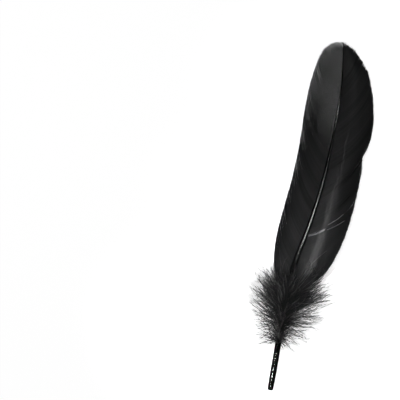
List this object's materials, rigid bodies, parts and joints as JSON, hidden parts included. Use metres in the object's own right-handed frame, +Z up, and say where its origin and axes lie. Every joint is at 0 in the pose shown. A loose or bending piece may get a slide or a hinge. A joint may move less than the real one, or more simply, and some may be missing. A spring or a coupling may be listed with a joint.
{
  "type": "goose quill feather",
  "caption": "Black-dyed goose feather lying grooved side up: bare quill, tapering shaft, a narrow and a broad vane with one split, and loose down at the foot.",
  "frame": {"origin": "on the surface that the feather lies on, under the middle of its length and breadth", "axes": "+Y from the quill's end to the tip, +X towards the broad vane, +Z up, out of the grooved inner side"},
  "size_m": [0.0588, 0.2, 0.0106],
  "materials": {
    "vane": "black-dyed barbs with a satin sheen along them",
    "quill": "smooth horn, dyed black, glossy",
    "down": "soft matte black fluff"
  },
  "bodies": {
    "root": {"feather": "vane"}
  },
  "joints": []
}
